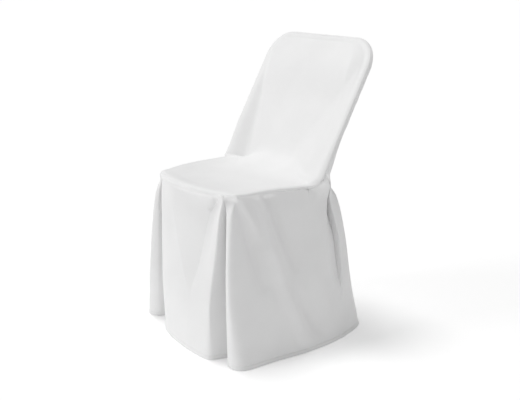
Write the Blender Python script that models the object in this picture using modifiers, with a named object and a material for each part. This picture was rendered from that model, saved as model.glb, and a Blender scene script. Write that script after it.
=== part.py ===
"""A plain fitted cover for a folding chair: five panels of smooth cloth as they hang on the chair.

The chair faces -Y and +X is on the sitter's left. Sizes are measured from the floor, under the foot of
the back, and the origin lies under the seat's cloth, where the chair holds the cover up. Each panel is
a grid laid over its place by a function, and then thickened outwards by a Solidify modifier.
"""

from math import cos, hypot, pi, radians, sin, sqrt, tan

import bmesh
import bpy
from mathutils import Vector

# The cover's sizes in metres, and its angles in radians
HEIGHT = 0.836
CLOTH = 0.0015
SEAM_GAP = 0.0003
SKIRT_SEAM_GAP = 0.0010
SEAT_HEIGHT = 0.469
CHAIR_SEAT = Vector((0, -0.120, 0.4665))
BACK_FOOT_HEIGHT = 0.4855
BACK_LEAN = radians(29.4)
BACK_HALF_WIDTH = 0.2168
BACK_CORNER_RADIUS = 0.075
RIM_RADIUS_TOP = 0.0135
RIM_RADIUS_FOOT = 0.0215
RIM_SEAM_TURN_SIDE = radians(60)
RIM_SEAM_TURN_TOP = radians(28)
POCKET_FOOT = 0.013
POCKET_TAPER = 0.10
LEVEL_FOOT_POWER = 3

SEAT_FRONT = -0.295
SEAT_BOW = 0.034
SEAT_BOW_HALF_WIDTH = 0.170
SEAT_CORNER_RADIUS = 0.034
SEAT_SAG = 0.003
ROLL_RADIUS = 0.022
ROLL_TURN_MIDDLE = radians(75)
ROLL_TURN_SIDE = radians(50)
CROOK_RADIUS_MIDDLE = 0.080
CROOK_RADIUS_SIDE = 0.030

# The inside of the back sinks between the chair's two side tubes, and stands proud over its backrest.
TUBE_INNER_EDGE = 0.197
RECESS_SLOPE = 0.27
BACKREST_HALF_WIDTH = 0.150
BACKREST_PROUD = 0.005

# The sitter's right side hangs further out than the left.
RIGHT_FLARE_OUT = 0.065
RIGHT_FLARE_BACK = 0.023
RIGHT_FLARE_AT_BACK = 0.35
FLARE_FULL_FROM = 0.15

# The centre panel's side edges beside the seat, before they climb the back
EDGE_ROWS = (
    # name, distance back from the roll, half width at the seam, edge radius, edge turn in degrees
    ("front", 0.00, 0.184, 0.020, 25),
    ("thigh", 0.10, 0.188, 0.020, 50),
    ("hip", 0.20, 0.190, 0.020, 78),
    ("rear", 0.24, 0.191, 0.020, 85),
)

# Depth of the recess between the tubes, by distance up the back
RECESS_ROWS = (
    # name, distance up the back, depth
    ("crook", -0.03, 0.020),
    ("low", 0.03, 0.020),
    ("middle", 0.13, 0.015),
    ("high", 0.21, 0.008),
    ("end", 0.30, 0.000),
    ("top", 0.42, 0.000),
)

# Each pleat is two folds, one on either panel, and a seam behind them, all given for the left side.
FRONT_PLEAT = (
    # height, front fold x, y, side fold x, y, depth
    (0.45, 0.1405, -0.2685, 0.1535, -0.2630, 0.003),
    (0.41, 0.1380, -0.2770, 0.1525, -0.2700, 0.018),
    (0.31, 0.1360, -0.2780, 0.1545, -0.2680, 0.040),
    (0.20, 0.1360, -0.2790, 0.1560, -0.2670, 0.045),
    (0.14, 0.1360, -0.2790, 0.1570, -0.2660, 0.045),
    (0.00, 0.1380, -0.2770, 0.1570, -0.2660, 0.050),
)
REAR_PLEAT = (
    # height, back fold x, y, side fold x, y, depth
    (0.45, 0.2085, 0.0580, 0.2090, 0.0460, 0.006),
    (0.41, 0.2030, 0.0620, 0.2035, 0.0380, 0.018),
    (0.31, 0.2095, 0.0780, 0.2165, 0.0310, 0.045),
    (0.20, 0.2165, 0.0880, 0.2245, 0.0440, 0.045),
    (0.14, 0.2305, 0.0690, 0.2315, 0.0610, 0.045),
    (0.00, 0.2400, 0.0840, 0.2415, 0.0760, 0.050),
)
PLEAT_SEAM_PLACE = 0.150
PLEAT_HALF_MOUTH_TOP = 0.006
FRONT_PLEAT_INWARD = Vector((-0.15, 0.99))
REAR_PLEAT_INWARD = Vector((-0.99, -0.05))
SMALLEST_HALF_TURN = 0.0045
PLEAT_SEAM_GAP = 0.0006
REAR_SEAM_GAP = 0.0020
LEAST_LEVEL_STEP = 0.008
HANG_LEVELS = (0.45, 0.41, 0.31, 0.20, 0.14, 0.00)
COLLAR = 0.40
WAIST = 0.22

# The part of each skirt that shows, between its pleats, in plan
FRONT_STATIONS = (
    # name, share of the seam, collar x, y, waist x, y, hem x, y
    ("right end", 0.13, -0.100, -0.285, -0.100, -0.288, -0.100, -0.290),
    ("right", 0.31, -0.050, -0.292, -0.050, -0.296, -0.050, -0.299),
    ("middle", 0.50, 0.000, -0.295, 0.000, -0.299, 0.000, -0.303),
    ("left", 0.69, 0.050, -0.293, 0.050, -0.298, 0.050, -0.304),
    ("left roll", 0.86, 0.094, -0.286, 0.092, -0.293, 0.096, -0.302),
    ("left end", 0.95, 0.122, -0.281, 0.120, -0.288, 0.124, -0.295),
)
SIDE_STATIONS = (
    # name, share of the seam, collar x, y, waist x, y, hem x, y
    ("brow", 0.045, 0.168, -0.270, 0.174, -0.275, 0.180, -0.277),
    ("front corner", 0.10, 0.183, -0.262, 0.194, -0.272, 0.205, -0.275),
    ("cheek", 0.15, 0.192, -0.243, 0.207, -0.256, 0.221, -0.260),
    ("side front", 0.24, 0.197, -0.212, 0.212, -0.222, 0.227, -0.228),
    ("side", 0.42, 0.200, -0.150, 0.216, -0.158, 0.232, -0.160),
    ("side middle", 0.60, 0.203, -0.085, 0.220, -0.088, 0.241, -0.085),
    ("side rear", 0.77, 0.206, -0.030, 0.222, -0.030, 0.245, -0.020),
    ("side back", 0.89, 0.207, 0.005, 0.223, 0.010, 0.246, 0.038),
)
BACK_STATIONS = (
    # name, share of half the back, collar x, y, waist x, y, hem x, y
    ("centre", 0.00, 0.000, 0.103, 0.000, 0.147, 0.000, 0.214),
    ("inner", 0.20, 0.060, 0.103, 0.062, 0.147, 0.066, 0.214),
    ("middle", 0.39, 0.116, 0.102, 0.120, 0.146, 0.130, 0.212),
    ("outer", 0.56, 0.160, 0.099, 0.168, 0.140, 0.182, 0.199),
    ("rear corner", 0.70, 0.190, 0.096, 0.199, 0.130, 0.215, 0.168),
    ("rear cheek", 0.84, 0.201, 0.080, 0.213, 0.110, 0.236, 0.114),
)

# Soft folds: the line that each follows from its top to its foot, its width, and how far it stands out
SIDE_FOLDS = (
    # name, top y, z, foot y, z, width, height
    ("first trough", -0.262, 0.465, -0.185, 0.220, 0.018, -0.0030),
    ("second trough", -0.184, 0.452, -0.105, 0.240, 0.020, -0.0030),
    ("long ridge", -0.215, 0.445, -0.060, 0.030, 0.022, 0.0030),
)
FRONT_FOLDS = (
    # name, top x, z, foot x, z, width, height
    ("right trough", -0.062, 0.420, 0.020, 0.180, 0.016, -0.0030),
    ("left trough", 0.107, 0.448, 0.040, 0.175, 0.016, -0.0030),
    ("corner trough", 0.130, 0.455, 0.060, 0.360, 0.009, -0.0030),
)

ROLL_STEPS = 4
SEAT_STEPS = 8
CROOK_STEPS = 5
BACK_STEPS = 13
INNER_COLUMNS = 9
EDGE_COLUMNS = 3
RETURN_COLUMNS = 4
BACK_HALF_COLUMNS = 16
POCKET_ROWS = 15
HANG_ROWS = (0.0, 0.02, 0.05, 0.09, 0.14, 0.20, 0.28, 0.37, 0.46, 0.55, 0.62, 0.69, 0.78, 0.89, 1.0)

UP_THE_BACK = Vector((0, sin(BACK_LEAN), cos(BACK_LEAN)))
OUT_OF_BACK = Vector((0, -cos(BACK_LEAN), sin(BACK_LEAN)))
CLOTH_COLOUR = (0.83, 0.83, 0.83, 1.0)


def table(rows, key, where, column):
    """The value of a column at a place between the rows, along straight lines."""
    rows = sorted(rows, key=lambda row: row[key])
    if where <= rows[0][key]:
        return rows[0][column]
    for low, high in zip(rows, rows[1:]):
        if where <= high[key]:
            share = (where - low[key]) / (high[key] - low[key])
            return low[column] + share * (high[column] - low[column])
    return rows[-1][column]


def smooth_step(value):
    value = min(max(value, 0.0), 1.0)
    return value * value * (3 - 2 * value)


def curve_through(knots, points, where):
    """A smooth curve through the points, whose slope at each is that of its two neighbours."""
    last = len(knots) - 1
    if where <= knots[0]:
        return points[0].copy()
    if where >= knots[last]:
        return points[last].copy()
    i = max(k for k in range(last) if knots[k] <= where)
    span = knots[i + 1] - knots[i]
    share = (where - knots[i]) / span

    def slope(k):
        low, high = max(k - 1, 0), min(k + 1, last)
        return (points[high] - points[low]) * (span / (knots[high] - knots[low]))

    cube, square = share**3, share**2
    return (
        points[i] * (2 * cube - 3 * square + 1)
        + slope(i) * (cube - 2 * square + share)
        + points[i + 1] * (3 * square - 2 * cube)
        + slope(i + 1) * (cube - square)
    )


def round_corner(across, along, corner_across, corner_along):
    """Moves a point of a square corner, in shares of the corner's size, on to a quarter disc."""
    p = max(across, 0.0) / corner_across
    q = max(along, 0.0) / corner_along
    if p <= 0 or q <= 0:
        return across, along
    return corner_across * p * sqrt(1 - q * q / 2), corner_along * q * sqrt(1 - p * p / 2)


def rim_radius(up):
    share = smooth_step((up - POCKET_FOOT) / POCKET_TAPER)
    return RIM_RADIUS_FOOT + share * (RIM_RADIUS_TOP - RIM_RADIUS_FOOT)


def top_of_back():
    """How far up the leaning back its flat part ends, so that the rim round it reaches the full height."""
    rim_rise = RIM_RADIUS_TOP * (1 - sin(BACK_LEAN))
    return (HEIGHT - CLOTH - BACK_FOOT_HEIGHT - rim_rise) / cos(BACK_LEAN)


def relief(x, up):
    """How far the inside of the back stands out of its plane: sunk between the tubes, proud above."""
    depth = table(RECESS_ROWS, 1, up, 2)
    side = max(TUBE_INNER_EDGE - abs(x), 0.0) * RECESS_SLOPE
    soft = 0.003
    sunk = 0.5 * (side + depth - sqrt((side - depth) ** 2 + soft * soft) + soft)
    sunk = min(max(sunk, 0.0), side)
    middle = 1 - smooth_step((abs(x) - BACKREST_HALF_WIDTH) / 0.05)
    high = smooth_step((up - 0.23) / 0.08) * (1 - smooth_step((up - top_of_back() + 0.045) / 0.045))
    return BACKREST_PROUD * middle * high - sunk


def back_point(x, up):
    """A point of the inside of the back, by its distance up the lean, and the way out of the cloth there."""
    foot = Vector((x, 0, BACK_FOOT_HEIGHT))
    return foot + UP_THE_BACK * up + OUT_OF_BACK * relief(x, up), OUT_OF_BACK


def seat_front(x):
    return SEAT_FRONT + SEAT_BOW * (x / SEAT_BOW_HALF_WIDTH) ** 2


def roll_point(x, share):
    """A point of the front roll, by its share of the way from the seam under it to the flat seat."""
    to_side = smooth_step((abs(x) - 0.03) / 0.12)
    whole = ROLL_TURN_MIDDLE + to_side * (ROLL_TURN_SIDE - ROLL_TURN_MIDDLE)
    turn = whole * (1 - share)
    centre = seat_front(x) + ROLL_RADIUS
    way = Vector((0, -sin(turn), cos(turn)))
    return Vector((x, centre, SEAT_HEIGHT - ROLL_RADIUS)) + way * ROLL_RADIUS, way


def crook(x):
    """Where seat and back would meet, the fillet's radius between them, and where it starts and ends."""
    share = smooth_step((abs(x) - 0.08) / 0.12)
    radius = CROOK_RADIUS_MIDDLE + share * (CROOK_RADIUS_SIDE - CROOK_RADIUS_MIDDLE)
    sunk = -relief(x, 0.0)
    corner_up = (SEAT_HEIGHT - BACK_FOOT_HEIGHT - sunk * sin(BACK_LEAN)) / cos(BACK_LEAN)
    corner_y = corner_up * sin(BACK_LEAN) + sunk * cos(BACK_LEAN)
    reach = radius * tan((pi / 2 - BACK_LEAN) / 2)
    return radius, corner_y - reach, corner_up + reach


def seat_point(x, share):
    """A point of the seat, by its share of the way from the front roll to the crook."""
    start = seat_front(x) + ROLL_RADIUS
    end = crook(x)[1]
    sag = SEAT_SAG * sin(pi * share) * (1 - smooth_step((abs(x) - 0.10) / 0.08))
    return Vector((x, start + share * (end - start), SEAT_HEIGHT - sag)), Vector((0, 0, 1))


def crook_point(x, share):
    radius, start, _ = crook(x)
    turn = share * (pi / 2 - BACK_LEAN)
    way = Vector((0, -sin(turn), cos(turn)))
    centre = Vector((x, start, SEAT_HEIGHT + radius))
    return centre - way * radius, way


def edge_size(row):
    """Half width at the seam, radius and turn of the panel's side edge at a row of the centre panel."""
    seat_end = ROLL_STEPS + SEAT_STEPS
    crook_end = seat_end + CROOK_STEPS
    if row <= ROLL_STEPS:
        back = 0.0
    else:
        back = EDGE_ROWS[-1][1] * min((row - ROLL_STEPS) / SEAT_STEPS, 1.0)
    width = table(EDGE_ROWS, 1, back, 2)
    radius = table(EDGE_ROWS, 1, back, 3)
    turn = radians(table(EDGE_ROWS, 1, back, 4))
    if row > seat_end:
        share = smooth_step((row - seat_end + 1) / (CROOK_STEPS + 1))
        up = POCKET_FOOT if row <= crook_end else row_up(row, BACK_HALF_WIDTH)
        width += share * (BACK_HALF_WIDTH - width)
        radius += share * (rim_radius(up) - radius)
        turn += share * (RIM_SEAM_TURN_SIDE - turn)
    return width, radius, turn


def row_up(row, x):
    """How far up the back a row of the centre panel lies, before its corners are rounded."""
    start = crook(x)[2]
    share = (row - ROLL_STEPS - SEAT_STEPS - CROOK_STEPS) / BACK_STEPS
    return start + share * (top_of_back() + RIM_RADIUS_TOP * RIM_SEAM_TURN_TOP - start)


def past_outline(x, up, inner_x, inner_up, corner):
    """The nearest point of the back's flat outline, how far past it a point lies, and which way."""
    centre_x, centre_up = inner_x - corner, inner_up - corner
    side = 1.0 if x >= 0 else -1.0
    across, along = abs(x) - centre_x, up - centre_up
    if across > 0 and along > 0:
        length = hypot(across, along)
        if length <= corner:
            return x, up, 0.0, side, 0.0
        way_x, way_up = across / length, along / length
        near_x, near_up = centre_x + corner * way_x, centre_up + corner * way_up
        return side * near_x, near_up, length - corner, side * way_x, way_up
    if up > inner_up:
        return x, inner_up, up - inner_up, 0.0, 1.0
    if abs(x) > inner_x:
        return side * inner_x, up, abs(x) - inner_x, side, 0.0
    return x, up, 0.0, side, 0.0


def centre_point(column, row):
    """A point of the centre panel, by its column from right to left and its row from front to top."""
    side = 1.0 if column >= 0 else -1.0
    width, radius, turn = edge_size(row)
    inner = width - radius * sin(turn)
    if abs(column) <= INNER_COLUMNS:
        x = inner * column / INNER_COLUMNS
    else:
        x = side * (inner + radius * turn * (abs(column) - INNER_COLUMNS) / EDGE_COLUMNS)
    seat_end = ROLL_STEPS + SEAT_STEPS
    crook_end = seat_end + CROOK_STEPS
    if row <= ROLL_STEPS:
        outline = inner + radius * turn
        corner = SEAT_CORNER_RADIUS
        moved_x, left = round_corner(abs(x) - outline + corner, 1 - row / ROLL_STEPS, corner, 1.0)
        x = side * (outline - corner + moved_x)
        beyond = max(abs(x) - inner, 0.0)
        base, out = roll_point(side * min(abs(x), inner), 1 - left)
        way = Vector((side, 0, 0))
    elif row <= seat_end:
        beyond = max(abs(x) - inner, 0.0)
        base, out = seat_point(side * min(abs(x), inner), (row - ROLL_STEPS) / SEAT_STEPS)
        way = Vector((side, 0, 0))
    elif row <= crook_end:
        beyond = max(abs(x) - inner, 0.0)
        base, out = crook_point(side * min(abs(x), inner), (row - seat_end) / CROOK_STEPS)
        way = Vector((side, 0, 0))
    else:
        up = row_up(row, side * min(abs(x), inner))
        top = top_of_back()
        top_length = RIM_RADIUS_TOP * RIM_SEAM_TURN_TOP
        side_length = radius * turn
        corner_x, corner_up = BACK_CORNER_RADIUS + side_length, BACK_CORNER_RADIUS + top_length
        edge_x, edge_up = inner + side_length, top + top_length
        moved_x, moved_up = round_corner(
            abs(x) - edge_x + corner_x, up - edge_up + corner_up, corner_x, corner_up
        )
        x, up = side * (edge_x - corner_x + moved_x), edge_up - corner_up + moved_up
        near_x, near_up, beyond, way_x, way_up = past_outline(x, up, inner, top, BACK_CORNER_RADIUS)
        base, out = back_point(near_x, near_up)
        way = Vector((way_x, 0, 0)) + UP_THE_BACK * way_up
    angle = beyond / radius
    return base + way * (radius * sin(angle)) - out * (radius * (1 - cos(angle)))


def pocket_point(column, row):
    """A point of the outside back above the pocket's foot, by its column and its share of the height."""
    side = 1.0 if column >= 0 else -1.0
    up_foot, top = POCKET_FOOT, top_of_back()
    side_turn, top_turn = pi - RIM_SEAM_TURN_SIDE, pi - RIM_SEAM_TURN_TOP
    top_length = RIM_RADIUS_TOP * top_turn - SEAM_GAP
    up = up_foot + row * (top + top_length - up_foot)
    radius = rim_radius(min(up, top))
    inner = BACK_HALF_WIDTH - radius * sin(RIM_SEAM_TURN_SIDE)
    side_length = radius * side_turn - SEAM_GAP
    flat_columns = BACK_HALF_COLUMNS - RETURN_COLUMNS
    if abs(column) <= flat_columns:
        x = inner * column / flat_columns
    else:
        x = side * (inner + side_length * (abs(column) - flat_columns) / RETURN_COLUMNS)
    corner_x, corner_up = BACK_CORNER_RADIUS + side_length, BACK_CORNER_RADIUS + top_length
    edge_x, edge_up = inner + side_length, top + top_length
    moved_x, moved_up = round_corner(
        abs(x) - edge_x + corner_x, up - edge_up + corner_up, corner_x, corner_up
    )
    x, up = side * (edge_x - corner_x + moved_x), edge_up - corner_up + moved_up
    near_x, near_up, beyond, way_x, way_up = past_outline(x, up, inner, top, BACK_CORNER_RADIUS)
    base = Vector((near_x, 0, BACK_FOOT_HEIGHT)) + UP_THE_BACK * near_up - OUT_OF_BACK * (2 * radius)
    way = Vector((way_x, 0, 0)) + UP_THE_BACK * way_up
    angle = beyond / radius
    # The foot of the pocket is level, so it rises up the lean behind its seam.
    behind_seam = radius * (cos(angle) + cos(RIM_SEAM_TURN_SIDE))
    base += UP_THE_BACK * (behind_seam * tan(BACK_LEAN) * (1 - row) ** LEVEL_FOOT_POWER)
    return base + way * (radius * sin(angle)) + OUT_OF_BACK * (radius * (1 - cos(angle)))


def seam_under_centre():
    """The centre panel's edge on the left side, from the middle of its front to the pocket's foot.

    Each entry is a point of the edge and the way in which the cloth would go on past it.
    """
    edge = INNER_COLUMNS + EDGE_COLUMNS
    places = [(edge * k / 24, 0.0) for k in range(25)]
    row = 0.0
    while centre_point(edge, row).z < POCKET_SEAM.z or row < ROLL_STEPS + SEAT_STEPS:
        row += 0.25
        places.append((edge, row))
    places.pop()
    seam = []
    for column, row in places:
        point = centre_point(column, row)
        outwards = point - centre_point(column - 0.25, row) if column == edge else Vector()
        forwards = point - centre_point(column, row + 0.25) if row < 1 else Vector()
        seam.append((point, (outwards.normalized() + forwards.normalized()).normalized()))
    seam.append((POCKET_SEAM.copy(), seam[-1][1].copy()))
    return seam


def along_seam(seam, distance, side):
    """The place of a skirt's top edge at a distance along the seam, just past the cloth above it."""
    for (start, start_way), (end, end_way) in zip(seam, seam[1:]):
        length = (end - start).length
        if distance <= length:
            share = max(distance, 0.0) / length
            point = start.lerp(end, share) + start_way.lerp(end_way, share) * SKIRT_SEAM_GAP
            return Vector((side * point.x, point.y, point.z))
        distance -= length
    point = seam[-1][0] + seam[-1][1] * SKIRT_SEAM_GAP
    return Vector((side * point.x, point.y, point.z))


def seam_length(seam):
    return sum((end[0] - start[0]).length for start, end in zip(seam, seam[1:]))


def flared(x, y, height, side, at_back):
    """Mirrors a place in plan to the right side, and moves it out by that side's flare."""
    if side > 0:
        return Vector((x, y))
    drop = max(SEAT_HEIGHT - height, 0.0) / SEAT_HEIGHT
    spread = min(abs(x) / FLARE_FULL_FROM, 1.0)
    share = drop * spread * (1 - at_back * (1 - RIGHT_FLARE_AT_BACK))
    return Vector((-x - RIGHT_FLARE_OUT * share, y + RIGHT_FLARE_BACK * share * (1 - at_back)))


def pleat(rows, height, side, rear):
    """The two folds of a pleat and the bottom behind them, in plan, at one of the table's heights."""
    _, own_x, own_y, side_x, side_y, depth = next(row for row in rows if row[0] == height)
    at_back = 1.0 if rear else 0.0
    if rear:
        own_fold = flared(own_x, own_y, height, side, at_back)
    else:
        own_fold = Vector((side * own_x, own_y))
    side_fold = flared(side_x, side_y, height, side, at_back)
    inward = REAR_PLEAT_INWARD if rear else FRONT_PLEAT_INWARD
    inward = Vector((side * inward.x, inward.y)).normalized()
    bottom = (own_fold + side_fold) / 2 + inward * depth
    return own_fold, side_fold, bottom, inward, depth


def return_points(fold, other, bottom, inward, depth):
    """The cloth's way from its fold into the pleat: down one wall, and over half of the flat bottom."""
    away = (fold - other) / 2
    half = max(away.length, SMALLEST_HALF_TURN)
    away.normalize()
    corner = bottom + away * half
    bend = fold + inward * (0.5 * depth)
    wall_steps = RETURN_COLUMNS - 1
    points = []
    for k in range(1, wall_steps + 1):
        t = k / wall_steps
        points.append(fold * (1 - t) ** 2 + bend * (2 * t * (1 - t)) + corner * t**2)
    points.append(bottom + away * PLEAT_SEAM_GAP)
    return points


def station_place(top, station, height):
    """Where a station's column stands in plan at a height, through its collar, waist and hem."""
    knots = [-top.z, -COLLAR, -WAIST, 0.0]
    points = [Vector((top.x, top.y))] + station
    return curve_through(knots, points, -height)


def level_outline(shares, places, steps, start, end):
    """One level of a skirt in plan, from its start fold through its stations to its end fold."""
    knots = [0.0] + shares + [1.0]
    points = [start] + places + [end]
    return [curve_through(knots, points, k / steps) for k in range(steps + 1)]


def hang(top, levels, row):
    """A point of a skirt's column, from its place at the top through its levels down to the hem."""
    below = [k for k, level in enumerate(HANG_LEVELS) if level < top.z - LEAST_LEVEL_STEP]
    knots = [-top.z] + [-HANG_LEVELS[k] for k in below]
    points = [Vector((top.x, top.y))] + [levels[k] for k in below]
    height = top.z * (1 - HANG_ROWS[row])
    place = curve_through(knots, points, -height)
    return Vector((place.x, place.y, height))


def raise_folds(point, along, out, folds):
    """Moves a point out or in where it lies by a soft fold's line."""
    for _, top_along, top_z, foot_along, foot_z, width, height in folds:
        line = Vector((foot_along - top_along, foot_z - top_z))
        offset = Vector((along - top_along, point.z - top_z))
        share = min(max(offset.dot(line) / line.length_squared, 0.0), 1.0)
        distance = (offset - line * share).length / width
        fade = sin(pi * (0.15 + 0.7 * share))
        point = point + out * (height * fade * max(1 - distance * distance / 4, 0.0) ** 2)
    return point


def grid_object(name, columns, rows, place, collection, material):
    """A grid of columns by rows, laid over its place by a function and thickened outwards."""
    mesh = bpy.data.meshes.new(name)
    sheet = bmesh.new()
    bmesh.ops.create_grid(sheet, x_segments=columns, y_segments=rows, size=0.5)
    for vertex in sheet.verts:
        column = round((vertex.co.x + 0.5) * columns)
        row = round((vertex.co.y + 0.5) * rows)
        vertex.co = place(column, row) - CHAIR_SEAT
    sheet.to_mesh(mesh)
    sheet.free()
    mesh.shade_smooth()
    mesh.materials.append(material)
    panel = bpy.data.objects.new(name, mesh)
    collection.objects.link(panel)
    return panel


def thicken(panel, outwards):
    """Gives a panel its cloth's thickness on the outer side."""
    if not outwards:
        panel.data.flip_normals()
    wall = panel.modifiers.new("cloth thickness", "SOLIDIFY")
    wall.thickness = CLOTH
    wall.offset = 1.0


def cloth_material(name):
    material = bpy.data.materials.new(name)
    material.use_nodes = True
    shader = material.node_tree.nodes["Principled BSDF"]
    shader.inputs["Base Color"].default_value = CLOTH_COLOUR
    shader.inputs["Roughness"].default_value = 0.7
    shader.inputs["Metallic"].default_value = 0.0
    material.diffuse_color = CLOTH_COLOUR
    return material


def make_centre_panel(collection):
    half = INNER_COLUMNS + EDGE_COLUMNS
    rows = ROLL_STEPS + SEAT_STEPS + CROOK_STEPS + BACK_STEPS
    panel = grid_object(
        "centre_panel",
        2 * half,
        rows,
        lambda column, row: centre_point(column - half, row),
        collection,
        cloth_material("centre cloth"),
    )
    thicken(panel, True)


def make_front_skirt(collection):
    seam = seam_under_centre()
    reach = PLEAT_SEAM_PLACE - PLEAT_SEAM_GAP
    fold_reach = reach - PLEAT_HALF_MOUTH_TOP
    visible = 18

    def seam_place(distance):
        return along_seam(seam, abs(distance), 1.0 if distance >= 0 else -1.0)

    def top_of(column):
        if column < RETURN_COLUMNS:
            return seam_place(-reach + (reach - fold_reach) * column / RETURN_COLUMNS)
        if column > RETURN_COLUMNS + visible:
            share = (column - RETURN_COLUMNS - visible) / RETURN_COLUMNS
            return seam_place(fold_reach + share * (reach - fold_reach))
        return seam_place(fold_reach * (2 * (column - RETURN_COLUMNS) / visible - 1))

    shares = [row[1] for row in FRONT_STATIONS]
    levels = []
    for height in HANG_LEVELS:
        right = pleat(FRONT_PLEAT, height, -1.0, False)
        left = pleat(FRONT_PLEAT, height, 1.0, False)
        places = []
        for row in FRONT_STATIONS:
            top = seam_place(fold_reach * (2 * row[1] - 1))
            station = [Vector(row[k : k + 2]) for k in (2, 4, 6)]
            places.append(station_place(top, station, height))
        shown = level_outline(shares, places, visible, right[0], left[0])
        into_right = return_points(right[0], right[1], *right[2:])
        into_left = return_points(left[0], left[1], *left[2:])
        levels.append(into_right[::-1] + shown + into_left)

    def place(column, row):
        point = hang(top_of(column), [level[column] for level in levels], len(HANG_ROWS) - 1 - row)
        if RETURN_COLUMNS <= column <= RETURN_COLUMNS + visible:
            point = raise_folds(point, point.x, Vector((0, -1, 0)), FRONT_FOLDS)
        return point

    columns = visible + 2 * RETURN_COLUMNS
    panel = grid_object(
        "front_skirt", columns, len(HANG_ROWS) - 1, place, collection, cloth_material("front cloth")
    )
    thicken(panel, True)


def make_side_skirt(collection, name, side):
    seam = seam_under_centre()
    start = PLEAT_SEAM_PLACE + PLEAT_SEAM_GAP
    fold_start = start + PLEAT_HALF_MOUTH_TOP
    end = seam_length(seam) - REAR_SEAM_GAP
    fold_end = end - PLEAT_HALF_MOUTH_TOP
    visible = 19

    def top_of(column):
        if column < RETURN_COLUMNS:
            return along_seam(seam, start + (fold_start - start) * column / RETURN_COLUMNS, side)
        if column > RETURN_COLUMNS + visible:
            share = (column - RETURN_COLUMNS - visible) / RETURN_COLUMNS
            return along_seam(seam, fold_end + share * (end - fold_end), side)
        share = (column - RETURN_COLUMNS) / visible
        return along_seam(seam, fold_start + share * (fold_end - fold_start), side)

    shares = [row[1] for row in SIDE_STATIONS]
    levels = []
    for height in HANG_LEVELS:
        front = pleat(FRONT_PLEAT, height, side, False)
        rear = pleat(REAR_PLEAT, height, side, True)
        places = []
        for row in SIDE_STATIONS:
            top = along_seam(seam, fold_start + row[1] * (fold_end - fold_start), side)
            station = [
                flared(row[k], row[k + 1], level, side, row[1])
                for k, level in ((2, COLLAR), (4, WAIST), (6, 0.0))
            ]
            places.append(station_place(top, station, height))
        shown = level_outline(shares, places, visible, front[1], rear[1])
        into_front = return_points(front[1], front[0], *front[2:])
        into_rear = return_points(rear[1], rear[0], *rear[2:])
        levels.append(into_front[::-1] + shown + into_rear)

    def place(column, row):
        point = hang(top_of(column), [level[column] for level in levels], len(HANG_ROWS) - 1 - row)
        if RETURN_COLUMNS + 2 <= column <= RETURN_COLUMNS + visible:
            point = raise_folds(point, point.y, Vector((side, 0, 0)), SIDE_FOLDS)
        return point

    columns = visible + 2 * RETURN_COLUMNS
    panel = grid_object(
        name, columns, len(HANG_ROWS) - 1, place, collection, cloth_material(name + " cloth")
    )
    thicken(panel, side > 0)


def make_outside_back(collection):
    half = BACK_HALF_COLUMNS
    visible = half - RETURN_COLUMNS
    foot = [pocket_point(column, 0.0) for column in range(-half, half + 1)]
    shares = [row[1] for row in BACK_STATIONS[1:]]
    levels = []
    for height in HANG_LEVELS:
        sides = []
        for side in (-1.0, 1.0):
            rear = pleat(REAR_PLEAT, height, side, True)
            places = []
            for row in BACK_STATIONS:
                top = pocket_point(side * row[1] * visible, 0.0)
                station = [
                    flared(row[k], row[k + 1], level, side, 1.0)
                    for k, level in ((2, COLLAR), (4, WAIST), (6, 0.0))
                ]
                places.append(station_place(top, station, height))
            shown = level_outline(shares, places[1:], visible, places[0], rear[0])
            sides.append(shown + return_points(rear[0], rear[1], *rear[2:]))
        levels.append(sides[0][::-1] + sides[1][1:])

    def place(column, row):
        hang_rows = len(HANG_ROWS) - 1
        if row > hang_rows:
            return pocket_point(column - half, (row - hang_rows) / POCKET_ROWS)
        return hang(foot[column], [level[column] for level in levels], hang_rows - row)

    panel = grid_object(
        "outside_back",
        2 * half,
        len(HANG_ROWS) - 1 + POCKET_ROWS,
        place,
        collection,
        cloth_material("back cloth"),
    )
    thicken(panel, False)


for old in list(bpy.data.objects):
    bpy.data.objects.remove(old, do_unlink=True)
POCKET_SEAM = pocket_point(BACK_HALF_COLUMNS, 0.0)
cover = bpy.data.collections.new("folding chair cover")
bpy.context.scene.collection.children.link(cover)
make_centre_panel(cover)
make_front_skirt(cover)
make_side_skirt(cover, "side_skirt_left", 1.0)
make_side_skirt(cover, "side_skirt_right", -1.0)
make_outside_back(cover)
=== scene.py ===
"""Looks of a plain fitted cover for a folding chair: five panels of smooth white polyester as they hang.

Sizes are measured from the floor, under the foot of the back, and each finished sheet is then moved to
the frame's own origin, which lies under the seat's cloth. Left is +X, right is -X, and the front is -Y.
"""

from math import cos, exp, hypot, pi, radians, sin, sqrt, tan

import bmesh
import bpy
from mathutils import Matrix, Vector, noise


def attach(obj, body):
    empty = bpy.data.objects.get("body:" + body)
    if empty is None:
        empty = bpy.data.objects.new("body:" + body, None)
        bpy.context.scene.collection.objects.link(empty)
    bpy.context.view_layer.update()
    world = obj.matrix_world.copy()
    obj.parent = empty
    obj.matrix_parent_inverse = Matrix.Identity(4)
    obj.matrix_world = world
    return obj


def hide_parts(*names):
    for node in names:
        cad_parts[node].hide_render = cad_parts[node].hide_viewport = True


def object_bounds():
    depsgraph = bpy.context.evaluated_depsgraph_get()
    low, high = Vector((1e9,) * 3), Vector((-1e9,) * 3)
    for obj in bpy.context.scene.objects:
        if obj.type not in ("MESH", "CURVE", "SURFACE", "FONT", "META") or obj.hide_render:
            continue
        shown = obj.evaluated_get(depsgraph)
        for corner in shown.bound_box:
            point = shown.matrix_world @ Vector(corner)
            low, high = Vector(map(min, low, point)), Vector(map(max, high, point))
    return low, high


bl_info = {
    "name": "Folding chair cover",
    "version": (1, 0, 0),
    "blender": (4, 5, 0),
    "location": "3D View > Sidebar > Chair cover",
    "description": "Dresses a fitted cover for a folding chair in fine cloth",
    "category": "Object",
}

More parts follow.
